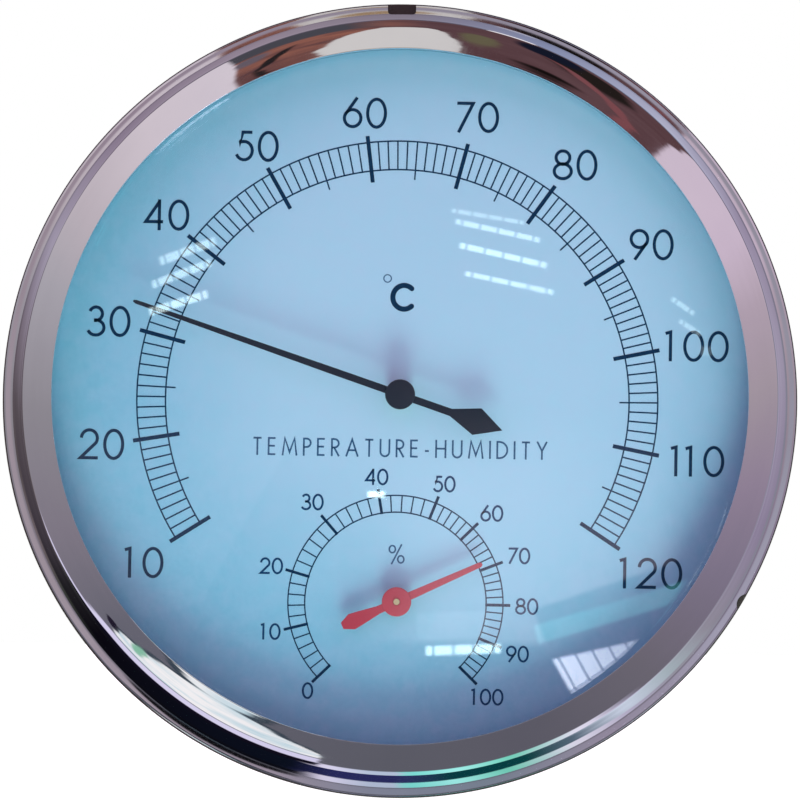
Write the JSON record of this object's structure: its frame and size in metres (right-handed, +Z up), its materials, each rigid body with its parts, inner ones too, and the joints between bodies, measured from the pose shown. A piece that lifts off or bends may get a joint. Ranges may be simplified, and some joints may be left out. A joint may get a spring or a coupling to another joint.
{
  "type": "dial hygrometer",
  "caption": "Round wall instrument with a polished steel case, a domed crystal, a large temperature dial and a small humidity dial, each with its own pointer and coil movement.",
  "frame": {"origin": "centre of the back cover, on the wall plane", "axes": "+Z up, -Y towards the reader (the dial faces -Y), +X to the reader's right"},
  "size_m": [0.132, 0.0197, 0.132],
  "materials": {
    "back_cover": "black, matt",
    "bezel": "mirror polished",
    "case_band": "polished",
    "screw_steel": "zinc plated",
    "crystal": "clear, domed",
    "crystal_seal": "black, matt",
    "dial_plate": "pale blue enamel, satin",
    "dial_spacer": "white, satin",
    "humidity_arbor": "turned",
    "humidity_bridge": "zinc plated",
    "humidity_bush": "turned",
    "humidity_coil": "fibre-backed foil",
    "humidity_pointer": "red, satin",
    "humidity_regulator": "stamped",
    "mounting_plate": "black, matt",
    "temp_arbor": "ground",
    "temp_bridge": "zinc plated",
    "temp_bush": "turned",
    "temp_coil": "rolled bimetal",
    "temp_hub_cap": "black, satin",
    "temp_pointer": "black, satin",
    "temp_regulator": "stamped"
  },
  "bodies": {
    "case": {"back_cover": "back_cover", "bezel": "bezel", "case_band": "case_band", "cover_screw_1": "screw_steel", "cover_screw_2": "screw_steel", "cover_screw_3": "screw_steel", "crystal": "crystal", "crystal_seal": "crystal_seal", "dial_plate": "dial_plate", "dial_spacer": "dial_spacer", "humidity_bridge": "humidity_bridge", "humidity_bridge_screw_1": "screw_steel", "humidity_bridge_screw_2": "screw_steel", "humidity_bush": "humidity_bush", "mounting_plate": "mounting_plate", "temp_bridge": "temp_bridge", "temp_bridge_screw_1": "screw_steel", "temp_bridge_screw_2": "screw_steel", "temp_bush": "temp_bush"},
    "temp_adjuster": {"temp_regulator": "temp_regulator", "temp_coil": "temp_coil"},
    "temp_hand": {"temp_arbor": "temp_arbor", "temp_pointer": "temp_pointer", "temp_hub_cap": "temp_hub_cap"},
    "humidity_adjuster": {"humidity_regulator": "humidity_regulator", "humidity_coil": "humidity_coil"},
    "humidity_hand": {"humidity_arbor": "humidity_arbor", "humidity_pointer": "humidity_pointer"}
  },
  "joints": [
    {"name": "temp_adjust", "type": "hinge", "parent": "case", "child": "temp_adjuster", "pos_m": [0, -0.0045, 0.00025], "axis": [0, 1, 0], "range_deg": [-12, 12]},
    {"name": "temp_reading", "type": "hinge", "parent": "temp_adjuster", "child": "temp_hand", "pos_m": [0, -0.0145, 0.00025], "axis": [0, 1, 0], "range_deg": [-50.2, 195.4], "stiffness_Nm_per_rad": 0.0004, "deforming": ["temp_coil"]},
    {"name": "humidity_adjust", "type": "hinge", "parent": "case", "child": "humidity_adjuster", "pos_m": [0, -0.0045, -0.03355], "axis": [0, 1, 0], "range_deg": [-12, 12]},
    {"name": "humidity_reading", "type": "hinge", "parent": "humidity_adjuster", "child": "humidity_hand", "pos_m": [0, -0.013, -0.03355], "axis": [0, 1, 0], "range_deg": [-198.6, 69.9], "stiffness_Nm_per_rad": 0.0002, "deforming": ["humidity_coil"]}
  ]
}
